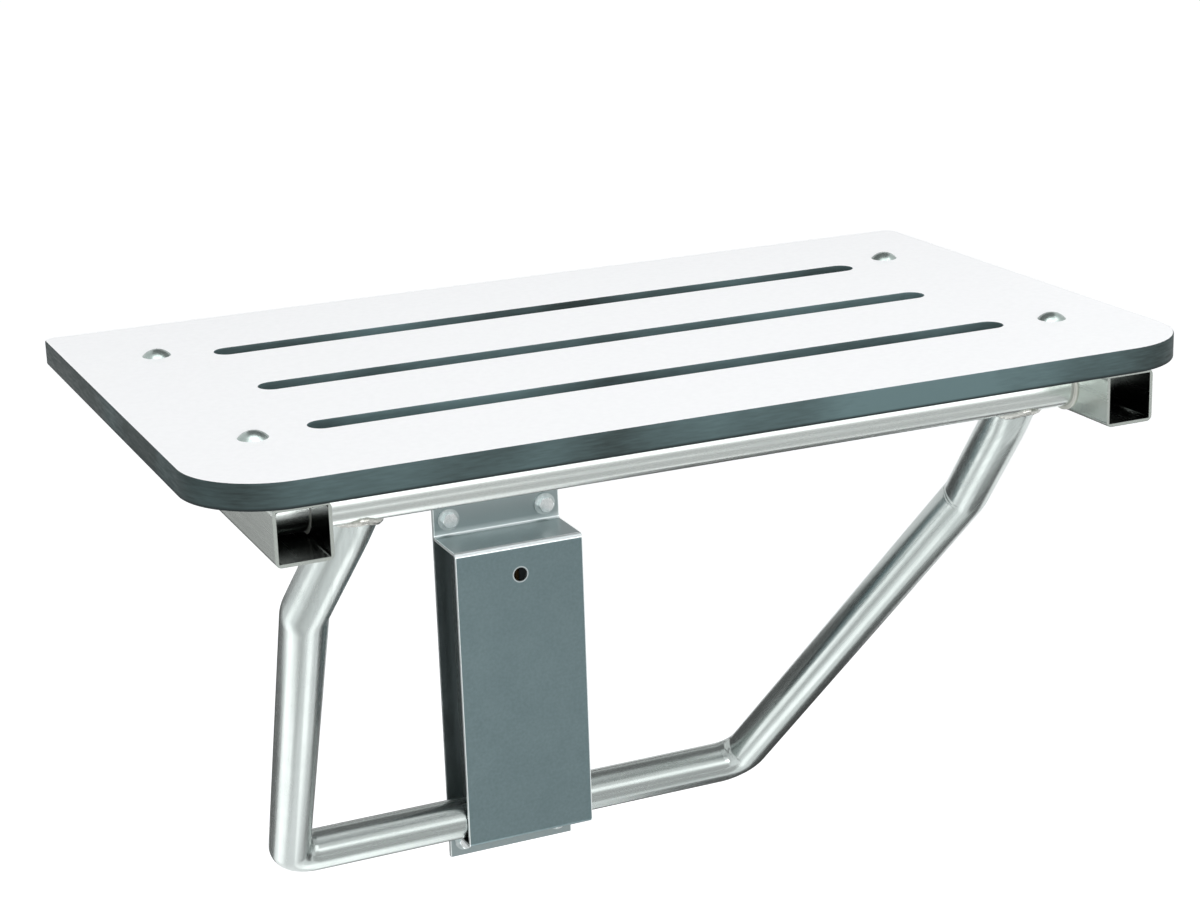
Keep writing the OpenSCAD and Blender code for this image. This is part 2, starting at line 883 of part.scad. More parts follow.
// One hexagon head screw: its head stands on z = 0 and its shank runs down through the wall plane
module hex_screw() {
    grip = back_plate_t + guide_t + screw_washer_t;
    head_r = screw_head_af / sqrt(3);
    intersection() {
        cylinder(r = head_r, h = screw_head_h, $fn = 6);
        cylinder(r1 = head_r + screw_head_h, r2 = screw_head_af / 2, h = screw_head_h);
    }
    translate([0, 0, -grip - screw_shank_l])
        cylinder(r = screw_r, h = grip + screw_shank_l);
    translate([0, 0, -grip - screw_l + screw_tip_l])
        cylinder(r = screw_core_r, h = screw_l - screw_tip_l);
    translate([0, 0, -grip - screw_l])
        cylinder(r1 = 0, r2 = screw_core_r, h = screw_tip_l);
}

module guide_screws() {
    color(zinc_steel)
        at_guide_screws(back_plate_t + guide_t + screw_washer_t)
            hex_screw();
}

module guide_washers() {
    color(zinc_steel)
        at_guide_screws(back_plate_t + guide_t)
            difference() {
                cylinder(r = screw_washer_r, h = screw_washer_t);
                translate([0, 0, -overrun])
                    cylinder(r = screw_r + run_gap, h = screw_washer_t + 2 * overrun);
            }
}

hinge_bracket_left();
hinge_bracket_right();
hinge_bolt_left();
hinge_bolt_right();
hinge_sleeve_left();
hinge_sleeve_right();
hinge_nuts();
hinge_washers();
guide_bracket();
guide_back_plate();
wear_pad();
retaining_spring();
spring_rivets();
guide_screws();
guide_washers();
seat_panel();
frame_tube_left();
frame_tube_right();
hinge_bushes_left();
hinge_bushes_right();
leg_bush_left();
leg_bush_right();
pivot_spigot_left();
pivot_spigot_right();
seat_bolts();
seat_bolt_washers();
seat_bolt_nuts();
cross_tube();
leg_left();
leg_right();
slide_bar();
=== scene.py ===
import bpy
import bmesh
from math import atan2, cos, pi, radians, sin, sqrt, tan
from mathutils import Matrix, Vector

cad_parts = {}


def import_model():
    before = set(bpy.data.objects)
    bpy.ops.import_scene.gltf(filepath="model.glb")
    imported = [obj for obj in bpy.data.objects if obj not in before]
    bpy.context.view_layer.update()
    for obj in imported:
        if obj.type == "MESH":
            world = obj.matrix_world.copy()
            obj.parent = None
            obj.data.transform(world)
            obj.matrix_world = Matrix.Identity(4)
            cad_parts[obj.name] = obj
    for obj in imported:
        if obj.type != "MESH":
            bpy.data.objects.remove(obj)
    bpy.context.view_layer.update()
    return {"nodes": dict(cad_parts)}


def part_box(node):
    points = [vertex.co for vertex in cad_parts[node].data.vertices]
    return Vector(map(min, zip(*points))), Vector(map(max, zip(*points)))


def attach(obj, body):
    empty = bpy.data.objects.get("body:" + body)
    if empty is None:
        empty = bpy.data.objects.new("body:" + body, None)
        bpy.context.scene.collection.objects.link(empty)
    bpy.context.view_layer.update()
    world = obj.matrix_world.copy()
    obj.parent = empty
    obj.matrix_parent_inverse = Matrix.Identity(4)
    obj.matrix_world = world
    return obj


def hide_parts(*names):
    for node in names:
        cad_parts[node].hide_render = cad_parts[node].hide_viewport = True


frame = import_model()
nodes = frame["nodes"]

# Camera: where the photograph was taken from, in metres, and how it was turned, in degrees
CAMERA_AT = (-0.602, -1.566, 0.665)
CAMERA_AZIMUTH = 23.58
CAMERA_DROP = 16.92
CAMERA_ROLL = -1.93

# Lens: focal length and picture width in pixels, and the sensor's width in millimetres
FOCAL_PIXELS = 2525
PHOTO_WIDTH = 1200
SENSOR = 36.0

# Colours, linear, some with the darker tone of the same finish
WHITE_LAMINATE = (0.89, 0.89, 0.895, 1)
WHITE_LAMINATE_DARK = (0.87, 0.87, 0.875, 1)
CORE_PALE = (0.122, 0.184, 0.190, 1)
CORE_DEEP = (0.040, 0.053, 0.052, 1)
# Painted shade along the foot of the panel's cut edge
CORE_FOOT_SHADE = (0.026, 0.034, 0.035, 1)
STEEL = (0.45, 0.49, 0.477, 1)
STEEL_DARK = (0.40, 0.44, 0.428, 1)
CROSS_STEEL = (0.62, 0.66, 0.64, 1)
CROSS_STEEL_DARK = (0.57, 0.61, 0.59, 1)
SQUARE_STEEL = (0.53, 0.57, 0.535, 1)
SQUARE_STEEL_DARK = (0.46, 0.495, 0.465, 1)
# Painted shade: the near-black bore of the square tubes
TUBE_BORE_PAINTED_SHADE = (0.045, 0.050, 0.046, 1)
GUIDE_STEEL = (0.192, 0.262, 0.274, 1)
GUIDE_STEEL_DARK = (0.158, 0.220, 0.232, 1)
# Painted light on the guide: a lighter tone for its flanges and shelves, and a painted highlight for its
# bends, cut edges, flange feet and hole rim
GUIDE_PAINTED_LIGHT = (0.31, 0.37, 0.375, 1)
GUIDE_PAINTED_HIGHLIGHT = (0.88, 0.94, 0.94, 1)
ZINC = (0.88, 0.92, 0.92, 1)
ZINC_DARK = (0.70, 0.75, 0.75, 1)
BOLT_STEEL = (0.55, 0.57, 0.57, 1)
BOLT_STEEL_DARK = (0.42, 0.44, 0.44, 1)
DOME_STEEL = (0.42, 0.49, 0.47, 1)
DOME_STEEL_DARK = (0.31, 0.365, 0.35, 1)
WASHER_STEEL = (0.56, 0.62, 0.62, 1)
WASHER_STEEL_DARK = (0.40, 0.45, 0.45, 1)
WELD_STEEL = (0.52, 0.53, 0.50, 1)
WELD_STEEL_DARK = (0.40, 0.40, 0.37, 1)
NYLON = (0.62, 0.62, 0.58, 1)
NYLON_DARK = (0.55, 0.55, 0.50, 1)
PAD_GREY = (0.032, 0.040, 0.040, 1)
PAD_GREY_DARK = (0.020, 0.026, 0.026, 1)
BRONZE = (0.30, 0.16, 0.07, 1)
BRONZE_DARK = (0.18, 0.09, 0.04, 1)

# Gloss: the lowest and the highest roughness of each finish
TUBE_GLOSS = (0.20, 0.30)
GUIDE_GLOSS = (0.28, 0.38)
BOLT_GLOSS = (0.14, 0.28)
DOME_GLOSS = (0.24, 0.34)
ZINC_GLOSS = (0.14, 0.26)
WASHER_GLOSS = (0.3, 0.5)
WELD_GLOSS = (0.22, 0.34)
LAMINATE_GLOSS = (0.34, 0.46)
CORE_GLOSS = (0.36, 0.5)
NYLON_GLOSS = (0.35, 0.5)
PAD_GLOSS = (0.4, 0.6)

# Noise: the detail and the roughness of each kind
GRAIN_NOISE = (1.5, 0.5)
SLOW_NOISE = (2.0, 0.5)
FLECK_NOISE = (3.0, 0.6)

# Bands of noise over which a tone, or the gloss, goes from its first value to its second
GRAIN_BAND = (0.32, 0.68)
FLECK_BAND = (0.35, 0.65)
CORE_BAND = (0.38, 0.68)
GLOSS_BAND = (0.3, 0.7)

# Brushed metal: grain to the metre on each axis, and blotches to the metre
ALONG_X = (5.0, 420.0, 420.0)
ALONG_Y = (420.0, 5.0, 420.0)
ALONG_Z = (420.0, 420.0, 5.0)
SPECKLE = (450.0, 450.0, 450.0)
BLOTCHES = 22.0
TUBE_BLOTCHES = 30.0
GUIDE_BLOTCHES = 45.0
ZINC_BLOTCHES = 120.0
DOME_BLOTCHES = 160.0

# The grain's share in the tone, where the rest is blotches, and the strength and depth of its relief
GRAIN_SHARE = 0.6
GRAIN_BUMP = 0.02
TUBE_BUMP = 0.012
GUIDE_BUMP = 0.01
GRAIN_DEPTH = 0.0004

# Plastic and laminate: flecks to the metre, their relief and the strength of the shine
PLASTIC_FLECKS = 400.0
PLASTIC_BUMP = 0.05
PLASTIC_SHINE = 0.5
LAMINATE_FLECKS = 260.0
LAMINATE_BUMP = 0.03
LAMINATE_SHINE = 0.08
FLECK_DEPTH = 0.0002

# The panel's cut edge: slow tones and fine flecks to the metre, painted shade towards both ends, and a line
# of painted shade at its foot
CORE_TONES = 7.0
CORE_TONE_SHIFT = (0.35, 0, 0)
CORE_FLECKS = 90.0
CORE_FLECK_STRETCH = (1, 1, 8)
CORE_FLECK_SHARE = 0.15
CORE_END_SHADE = 0.22
CORE_END_POWER = 4
CORE_LINE = 0.0022
CORE_LINE_FADE = (0.4, 1.0)
CORE_BUMP = 0.04
CORE_SHINE = 0.03

# The square tubes' wall, and how much wider than the bore its painted shade is taken, in metres
SQUARE_WALL = 0.002
BORE_MARGIN = 0.000075

# The guide, in metres: its flange and hole, and how far its painted light and painted highlights reach in
# from its faces
GUIDE_FLANGE = 0.024
GUIDE_HOLE_DROP = 0.022
GUIDE_HOLE_R = 0.005
GUIDE_RIM = 0.0009
GUIDE_FLANGE_REACH = 0.0037
GUIDE_FRONT_REACH = 0.0035
GUIDE_BEND_REACH = 0.0028
GUIDE_CUT_REACH = 0.0006
GUIDE_FOOT_REACH = 0.006

# The painted highlight's share on the hole's rim and at the flanges' feet, and the band over which it fades
# there
GUIDE_RIM_SHARE = 0.45
GUIDE_FOOT_SHARE = 0.75
GUIDE_FOOT_FADE = (0.1, 1.0)

# Sockets of a mix node that hold its first colour, its second colour and its result
MIX_FIRST = 6
MIX_SECOND = 7
MIX_RESULT = 2


def grey(level):
    return (level, level, level, 1)


class Graph:
    """A node tree, and the steps that are added to it."""

    def __init__(self, tree):
        self.tree = tree

    def feed(self, socket, value):
        """Put a number, a colour or another step's output into a socket."""
        if isinstance(value, bpy.types.NodeSocket):
            self.tree.links.new(value, socket)
        else:
            socket.default_value = value

    def step(self, kind, inputs, output=0, **settings):
        """Add a node, feed its inputs by name or number, and return one of its outputs."""
        node = self.tree.nodes.new(kind)
        for key, value in settings.items():
            setattr(node, key, value)
        for key, value in inputs.items():
            self.feed(node.inputs[key], value)
        return node.outputs[output]

    def maths(self, operation, *values):
        return self.step("ShaderNodeMath", dict(enumerate(values)), operation=operation)

    def plainly_seen(self):
        """1 for rays from the camera, from gloss or through clear pieces, and 0 for the rest."""
        path = self.tree.nodes.new("ShaderNodeLightPath").outputs
        seen = self.maths("MAXIMUM", path["Is Camera Ray"], path["Is Glossy Ray"])
        return self.maths("MAXIMUM", seen, path["Is Transmission Ray"])


class Paint(Graph):
    """A material, and the steps that lead into its shader."""

    def __init__(self, name):
        self.material = bpy.data.materials.new(name)
        self.material.use_nodes = True
        super().__init__(self.material.node_tree)
        self.shader = self.tree.nodes["Principled BSDF"]
        self.surface = self.tree.nodes["Material Output"].inputs["Surface"]

    def shade(self, inputs):
        for key, value in inputs.items():
            self.feed(self.shader.inputs[key], value)

    def place(self, axis):
        """One object coordinate; each node sits at the origin, so it is a place in the frame at rest."""
        coords = self.step("ShaderNodeTexCoord", {}, "Object")
        return self.step("ShaderNodeSeparateXYZ", {"Vector": coords}, axis)

    def mapped(self, scale=(1, 1, 1), turn=(0, 0, 0), shift=(0, 0, 0)):
        """Object coordinates, turned and then stretched and shifted."""
        coords = self.step("ShaderNodeTexCoord", {}, "Object")
        turned = self.step("ShaderNodeMapping", {"Vector": coords, "Rotation": turn})
        return self.step("ShaderNodeMapping", {"Vector": turned, "Scale": scale, "Location": shift})

    def noise(self, vector, kind, scale=1.0):
        detail, rough = kind
        inputs = {"Vector": vector, "Scale": scale, "Detail": detail, "Roughness": rough}
        return self.step("ShaderNodeTexNoise", inputs, "Fac")

    def ramp(self, value, band, colours):
        """The first colour below a band of values, the second above it, and a blend inside it."""
        node = self.tree.nodes.new("ShaderNodeValToRGB")
        for stop, position, colour in zip(node.color_ramp.elements, band, colours):
            stop.position = position
            stop.color = colour
        self.feed(node.inputs["Fac"], value)
        return node.outputs["Color"]

    def sheen(self, value, gloss):
        """A roughness that falls as the value grows."""
        smoothest, roughest = gloss
        return self.ramp(value, GLOSS_BAND, (grey(roughest), grey(smoothest)))

    def blended(self, share, base, other):
        """The base colour, turned into another colour by a share."""
        inputs = {"Factor": share, MIX_FIRST: base, MIX_SECOND: other}
        return self.step("ShaderNodeMix", inputs, MIX_RESULT, data_type="RGBA")

    def relief(self, height, strength, depth):
        inputs = {"Height": height, "Strength": strength, "Distance": depth}
        self.shade({"Normal": self.step("ShaderNodeBump", inputs, "Normal")})


def brushed(name, light, dark, grain, turn=(0, 0, 0), gloss=TUBE_GLOSS, bump=GRAIN_BUMP,
            blotches=BLOTCHES, painted_light_and_shade=None):
    """Brushed metal: a fine grain stretched along one axis, slow blotches and a matching gloss."""
    paint = Paint(name)
    lines = paint.noise(paint.mapped(grain, turn), GRAIN_NOISE)
    slow = paint.noise(paint.mapped(), SLOW_NOISE, blotches)
    slow = paint.maths("MULTIPLY", slow, 1 - GRAIN_SHARE)
    both = paint.maths("MULTIPLY_ADD", lines, GRAIN_SHARE, slow)
    colour = paint.ramp(both, GRAIN_BAND, (dark, light))
    # Painted light and shade laid over the brushed tones, where a piece has them
    if painted_light_and_shade:
        colour = painted_light_and_shade(paint, colour)
    paint.shade({"Metallic": 1.0, "Base Color": colour, "Roughness": paint.sheen(both, gloss)})
    paint.relief(lines, bump, GRAIN_DEPTH)
    return paint.material


def bore_shade(paint, colour):
    """Painted shade inside the square tubes: the unbrushed bore is painted near black, as it is shaded."""
    low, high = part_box("frame_tube_right")
    aside = paint.maths("ABSOLUTE", paint.place("X"))
    aside = paint.maths("ABSOLUTE", paint.maths("SUBTRACT", aside, (low.x + high.x) / 2))
    above = paint.maths("SUBTRACT", paint.place("Z"), (low.z + high.z) / 2)
    away = paint.maths("MAXIMUM", aside, paint.maths("ABSOLUTE", above))
    inside = paint.maths("LESS_THAN", away, (high.x - low.x) / 2 - SQUARE_WALL + BORE_MARGIN)
    # Painted shade: everything inside the bore turns near black
    return paint.blended(inside, colour, TUBE_BORE_PAINTED_SHADE)


def painted_guide_light(paint, colour):
    """Painted light on the guide: lighter flanges and shelves, and a painted highlight on bends, cut edges,
    flange feet and hole rim.
    """
    low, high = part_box("guide_bracket")
    shelf_z = high.z - GUIDE_FLANGE
    x, y, z = [paint.place(axis) for axis in "XYZ"]
    height = paint.maths("ABSOLUTE", z)

    flange = paint.maths("GREATER_THAN", y, high.y - GUIDE_FLANGE_REACH)
    beyond = paint.maths("SUBTRACT", height, shelf_z - GUIDE_CUT_REACH)
    shelf = paint.maths("GREATER_THAN", beyond, 0)
    # Painted light: the flanges and shelves take a lighter tone than the front
    colour = paint.blended(paint.maths("MAXIMUM", flange, shelf), colour, GUIDE_PAINTED_LIGHT)

    # Painted highlights: a band fading up from the flanges' feet, a line along the front's top bend, the cut
    # edges and the hole's rim
    foot = paint.maths("DIVIDE", beyond, GUIDE_FOOT_REACH)
    foot = paint.ramp(foot, GUIDE_FOOT_FADE, (grey(GUIDE_FOOT_SHARE), grey(0)))
    foot = paint.maths("MULTIPLY", foot, paint.maths("MULTIPLY", flange, shelf))
    front = paint.maths("LESS_THAN", y, low.y + GUIDE_FRONT_REACH)
    top_bend = paint.maths("GREATER_THAN", z, shelf_z - GUIDE_BEND_REACH)
    top_bend = paint.maths("MULTIPLY", front, top_bend)
    cut = paint.maths("GREATER_THAN", paint.maths("ABSOLUTE", x), high.x - GUIDE_CUT_REACH)
    up = paint.maths("SUBTRACT", z, shelf_z - GUIDE_HOLE_DROP)
    away = paint.maths("ADD", paint.maths("POWER", x, 2), paint.maths("POWER", up, 2))
    rim = paint.maths("LESS_THAN", away, (GUIDE_HOLE_R + GUIDE_RIM) ** 2)
    rim = paint.maths("MULTIPLY", rim, GUIDE_RIM_SHARE)
    painted_highlight = foot
    for part in (top_bend, cut, rim):
        painted_highlight = paint.maths("MAXIMUM", painted_highlight, part)
    return paint.blended(painted_highlight, colour, GUIDE_PAINTED_HIGHLIGHT)


def laminate_core(name):
    """The cut edge of the panel: slow changes of tone, with painted shade at both ends and in a darker line
    at its foot.
    """
    paint = Paint(name)
    low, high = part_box("seat_panel")
    slow = paint.noise(paint.mapped(shift=CORE_TONE_SHIFT), SLOW_NOISE, CORE_TONES)
    fine = paint.noise(paint.mapped(CORE_FLECK_STRETCH), SLOW_NOISE, CORE_FLECKS)
    tone = paint.maths("ADD", slow, paint.maths("MULTIPLY", fine, CORE_FLECK_SHARE))
    # Painted shade: the tone falls towards both ends of the panel
    ends = paint.maths("ABSOLUTE", paint.maths("DIVIDE", paint.place("X"), high.x))
    ends = paint.maths("POWER", ends, CORE_END_POWER)
    tone = paint.maths("SUBTRACT", tone, paint.maths("MULTIPLY", ends, CORE_END_SHADE))
    colour = paint.ramp(tone, CORE_BAND, (CORE_DEEP, CORE_PALE))
    # Painted shade: a darker line along the foot of the cut edge
    foot = paint.maths("SUBTRACT", paint.place("Z"), low.z)
    foot = paint.ramp(paint.maths("DIVIDE", foot, CORE_LINE), CORE_LINE_FADE, (grey(1), grey(0)))
    colour = paint.blended(foot, colour, CORE_FOOT_SHADE)
    gloss = paint.sheen(fine, CORE_GLOSS)
    paint.shade({"Base Color": colour, "Roughness": gloss, "Specular IOR Level": CORE_SHINE})
    paint.relief(fine, CORE_BUMP, FLECK_DEPTH)
    return paint.material


def moulded(name, light, dark, gloss, flecks=PLASTIC_FLECKS, bump=PLASTIC_BUMP, shine=PLASTIC_SHINE):
    """Plastic or laminate: an even colour with a fine fleck and a slightly uneven sheen."""
    paint = Paint(name)
    fine = paint.noise(paint.mapped(), FLECK_NOISE, flecks)
    colour = paint.ramp(fine, FLECK_BAND, (dark, light))
    gloss = paint.sheen(fine, gloss)
    paint.shade({"Base Color": colour, "Roughness": gloss, "Specular IOR Level": shine})
    paint.relief(fine, bump, FLECK_DEPTH)
    return paint.material


white_top = moulded("white_laminate", WHITE_LAMINATE, WHITE_LAMINATE_DARK, LAMINATE_GLOSS,
                    flecks=LAMINATE_FLECKS, bump=LAMINATE_BUMP, shine=LAMINATE_SHINE)
dark_core = laminate_core("laminate_core")
square_steel = brushed("square_tube_steel", SQUARE_STEEL, SQUARE_STEEL_DARK, ALONG_Y, painted_light_and_shade=bore_shade)
foot_steel = brushed("foot_bar_steel", STEEL, STEEL_DARK, ALONG_X, bump=TUBE_BUMP, blotches=TUBE_BLOTCHES)
cross_steel = brushed("cross_tube_steel", CROSS_STEEL, CROSS_STEEL_DARK, ALONG_X, bump=TUBE_BUMP)
guide_steel = brushed("guide_sheet_steel", GUIDE_STEEL, GUIDE_STEEL_DARK, SPECKLE, gloss=GUIDE_GLOSS,
                      bump=GUIDE_BUMP, blotches=GUIDE_BLOTCHES, painted_light_and_shade=painted_guide_light)
bracket_steel = brushed("bracket_steel", STEEL, STEEL_DARK, ALONG_Z)
bolt_steel = brushed("bolt_steel", BOLT_STEEL, BOLT_STEEL_DARK, SPECKLE, gloss=BOLT_GLOSS)
dome_steel = brushed("dome_head_steel", DOME_STEEL, DOME_STEEL_DARK, SPECKLE, gloss=DOME_GLOSS,
                     blotches=DOME_BLOTCHES)
zinc_steel = brushed("zinc_plate", ZINC, ZINC_DARK, SPECKLE, gloss=ZINC_GLOSS, blotches=ZINC_BLOTCHES)
washer_steel = brushed("washer_steel", WASHER_STEEL, WASHER_STEEL_DARK, SPECKLE, gloss=WASHER_GLOSS)
weld_steel = brushed("weld_steel", WELD_STEEL, WELD_STEEL_DARK, SPECKLE, gloss=WELD_GLOSS)
nylon = moulded("nylon", NYLON, NYLON_DARK, NYLON_GLOSS)
pad_grey = moulded("wear_pad_plastic", PAD_GREY, PAD_GREY_DARK, PAD_GLOSS)
bronze = brushed("bronze_strip", BRONZE, BRONZE_DARK, ALONG_Z)


def dress(names, material):
    """Give nodes one material in all their slots."""
    for name in names:
        slots = nodes[name].data.materials
        if len(slots) == 0:
            slots.append(material)
        for index in range(len(slots)):
            slots[index] = material


dress(["frame_tube_left", "frame_tube_right"], square_steel)
dress(["cross_tube"], cross_steel)
dress(["slide_bar"], foot_steel)
dress(["guide_bracket", "guide_back_plate"], guide_steel)
dress(["hinge_bracket_left", "hinge_bracket_right"], bracket_steel)
dress(["hinge_bolt_left", "hinge_bolt_right", "hinge_nuts", "seat_bolt_nuts"], bolt_steel)
dress(["hinge_sleeve_left", "hinge_sleeve_right", "pivot_spigot_left", "pivot_spigot_right"], bolt_steel)
dress(["guide_screws"], zinc_steel)
dress(["seat_bolts"], dome_steel)
dress(["hinge_washers", "seat_bolt_washers", "guide_washers"], washer_steel)
dress(["hinge_bushes_left", "hinge_bushes_right", "leg_bush_left", "leg_bush_right"], nylon)
dress(["wear_pad"], pad_grey)
dress(["retaining_spring", "spring_rivets"], bronze)


def link(name, data, materials=()):
    """A new object in the scene, from its mesh, curve, light or camera."""
    obj = bpy.data.objects.new(name, data)
    bpy.context.scene.collection.objects.link(obj)
    for material in materials:
        data.materials.append(material)
    return obj


# Seat panel, in metres: white faces on a dark core, with eased edges round the outline and the slots
PANEL_FRONT_R = 0.050
PANEL_BACK_R = 0.008
PANEL_EASE = 0.0009
EASE_STEPS = 3
SLOT_SIDE = 0.085
SLOT_WIDTH = 0.0165
SLOT_PITCH = 0.092
ARC_STEPS = 24

# A face of the panel is flat, and so white, where its normal points up or down by more than this
FLAT_NORMAL = 0.97


def arc(centre, r, start, end):
    """Points on an arc, in degrees from +X."""
    points = []
    for k in range(ARC_STEPS + 1):
        a = radians(start + (end - start) * k / ARC_STEPS)
        points.append((centre[0] + r * cos(a), centre[1] + r * sin(a)))
    return points


def closed_spline(curve, points):
    spline = curve.splines.new("POLY")
    spline.points.add(len(points) - 1)
    for point, (x, y) in zip(spline.points, points):
        point.co = (x, y, 0, 1)
    spline.use_cyclic_u = True


def curve_to_mesh(curve, name):
    """The filled and bevelled curve as a plain mesh."""
    holder = link(name + "_curve", curve)
    bpy.context.view_layer.update()
    evaluated = holder.evaluated_get(bpy.context.evaluated_depsgraph_get())
    mesh = bpy.data.meshes.new_from_object(evaluated)
    bpy.data.objects.remove(holder)
    bpy.data.curves.remove(curve)
    mesh.name = name
    mesh.materials.clear()
    return mesh


def panel_curve(low, high):
    """The panel's outline and slots, drawn back by the depth of the eased edge that the bevel adds."""
    ease = PANEL_EASE
    curve = bpy.data.curves.new("panel_outline", "CURVE")
    curve.dimensions = "2D"
    curve.fill_mode = "BOTH"
    curve.extrude = (high.z - low.z) / 2 - ease
    curve.bevel_depth = ease
    curve.bevel_resolution = EASE_STEPS

    left, right = low.x + ease, high.x - ease
    front, back = low.y + ease, high.y - ease
    front_r = PANEL_FRONT_R - ease
    back_r = PANEL_BACK_R - ease
    outline = arc((left + front_r, front + front_r), front_r, 180, 270)
    outline += arc((right - front_r, front + front_r), front_r, 270, 360)
    outline += arc((right - back_r, back - back_r), back_r, 0, 90)
    outline += arc((left + back_r, back - back_r), back_r, 90, 180)
    closed_spline(curve, outline)

    slot_r = SLOT_WIDTH / 2 + ease
    slot_x = high.x - SLOT_SIDE - SLOT_WIDTH / 2
    for k in (-1, 0, 1):
        y = (low.y + high.y) / 2 + k * SLOT_PITCH
        closed_spline(curve, arc((-slot_x, y), slot_r, 90, 270) + arc((slot_x, y), slot_r, 270, 450))
    return curve


def seat_panel():
    low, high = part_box("seat_panel")
    mesh = curve_to_mesh(panel_curve(low, high), "seat_panel_laminate")
    mesh.transform(Matrix.Translation((0, 0, (low.z + high.z) / 2)))
    panel = link("seat_panel_laminate", mesh, [white_top, dark_core])
    for face in mesh.polygons:
        flat = abs(face.normal.z) > FLAT_NORMAL
        face.material_index = 0 if flat else 1
        face.use_smooth = not flat
    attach(panel, "seat")
    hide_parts("seat_panel")


seat_panel()


# Legs, in metres and degrees: one bent tube each, flattened where it is welded under the cross tube
CROSS_R = 0.0127
LEG_R = 0.0143
LEG_WALL = 0.00165
LEG_TOP_GAP = 0.030
LEG_SPREAD = 0.012
LEG_DRAW = 0.046
LEG_DRAW_ANGLE = 7.4
LEG_BEND_SHARE = 0.25
LEG_START = 0.0025
UPPER_BEND_R = 0.040
LOWER_BEND_R = 0.021
FLAT_LENGTH = 0.036
FLAT_R = 0.0122
FLAT_STEPS = 8
CREASE = 0.00025
CREASE_WAVES = 2
CREASE_POWER = 6
BEND_STEPS = 20
LEG_SIDES = 64
SHARP_ANGLE = 40

# Weld beads: radius, shares of it that a quick and a slow ripple add, and how often each goes round
BEAD_R = 0.0026
BEAD_RIPPLE = 0.07
BEAD_RIPPLES = 30
BEAD_WAVE = 0.05
BEAD_WAVES = 7
BEAD_POINTS = 96
BEAD_SIDES = 12


def leg_steel(name, side):
    """Steel of one leg, its grain turned to lie along the leg."""
    low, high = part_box(name)
    tilt = atan2(high.y - low.y, high.z - low.z)
    turn = (-tilt, -side * radians(LEG_DRAW_ANGLE), 0)
    return brushed(name + "_steel", STEEL, STEEL_DARK, ALONG_Z, turn, bump=TUBE_BUMP, blotches=TUBE_BLOTCHES)


def leg_plane():
    """The middles of the cross tube and the slide bar, which the plane of both legs runs through."""
    middles = []
    for name in ("cross_tube", "slide_bar"):
        low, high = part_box(name)
        middles.append((low + high) / 2)
    return middles


def legs_down():
    """The direction down the plane of the legs."""
    top, foot = leg_plane()
    return (foot - top).normalized()


def legs_normal():
    """The direction square on to the plane of the legs, up and back from it."""
    return Vector((1, 0, 0)).cross(legs_down())


def leg_corners(side):
    """The corners of a leg's centre line: on the cross tube's axis, at both bends, and its inner end."""
    top, foot = leg_plane()
    bend = top + LEG_BEND_SHARE * (foot - top)
    top_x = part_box("frame_tube_right")[0].x - LEG_TOP_GAP
    bend_x = top_x + LEG_SPREAD
    foot_x = bend_x - LEG_DRAW
    end_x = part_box("leg_right")[0].x
    places = ((top_x, top), (bend_x, bend), (foot_x, foot), (end_x, foot))
    return [Vector((side * x, place.y, place.z)) for x, place in places]


def rounded(points, radii):
    """A polyline with its inner corners rounded; each point has its share of the way round a bend."""
    line = [(points[0], 0.0)]
    for corner, r, before, after in zip(points[1:-1], radii, points, points[2:]):
        come = (corner - before).normalized()
        leave = (after - corner).normalized()
        angle = come.angle(leave)
        centre = corner + (leave - come).normalized() * (r / cos(angle / 2))
        start = corner - come * r * tan(angle / 2) - centre
        axis = come.cross(leave).normalized()
        for k in range(BEND_STEPS + 1):
            share = k / BEND_STEPS
            line.append((centre + Matrix.Rotation(angle * share, 3, axis) @ start, share))
    line.append((points[-1], 0.0))
    return line


def leg_line(side):
    """The centre line of a leg from inside the cross tube, with more points where it is flattened."""
    corners = leg_corners(side)
    start = corners[0] + LEG_START * legs_down()
    line = rounded([start] + corners[1:], (UPPER_BEND_R, LOWER_BEND_R))
    along = (corners[1] - start).normalized()
    flat = [(start + FLAT_LENGTH * k / FLAT_STEPS * along, 0.0) for k in range(1, FLAT_STEPS + 1)]
    return line[:1] + flat + line[1:]


def eased(share):
    """A share from 0 to 1 that starts and stops gently."""
    return share * share * (3 - 2 * share)


def leg_rings(build, line, normal, shrink, side):
    """Rings of vertices along a leg's centre line, some way inside the outer skin, creased in its bends."""
    rings = []
    for k, (point, share) in enumerate(line):
        ahead = line[min(k + 1, len(line) - 1)][0] - line[max(k - 1, 0)][0]
        across = normal.cross(ahead.normalized())
        gone = min((point - line[0][0]).length / FLAT_LENGTH, 1.0)
        deep = FLAT_R + (LEG_R - FLAT_R) * eased(gone)
        crease = CREASE * sin(2 * pi * CREASE_WAVES * share) * sin(pi * share)
        ring = []
        for j in range(LEG_SIDES):
            a = 2 * pi * j / LEG_SIDES
            sunk = shrink + crease * max(cos(a) * side, 0.0) ** CREASE_POWER
            place = point + (LEG_R - sunk) * cos(a) * across + (deep - sunk) * sin(a) * normal
            ring.append(build.verts.new(place))
        rings.append(ring)
    return rings


def stitch(build, one, two, slot=0):
    """Faces between two rings of vertices."""
    for j in range(len(one)):
        i = (j + 1) % len(one)
        face = build.faces.new((one[j], one[i], two[i], two[j]))
        face.material_index = slot


def smooth_mesh(build, name):
    bmesh.ops.recalc_face_normals(build, faces=build.faces)
    mesh = bpy.data.meshes.new(name)
    build.to_mesh(mesh)
    build.free()
    mesh.shade_smooth()
    return mesh


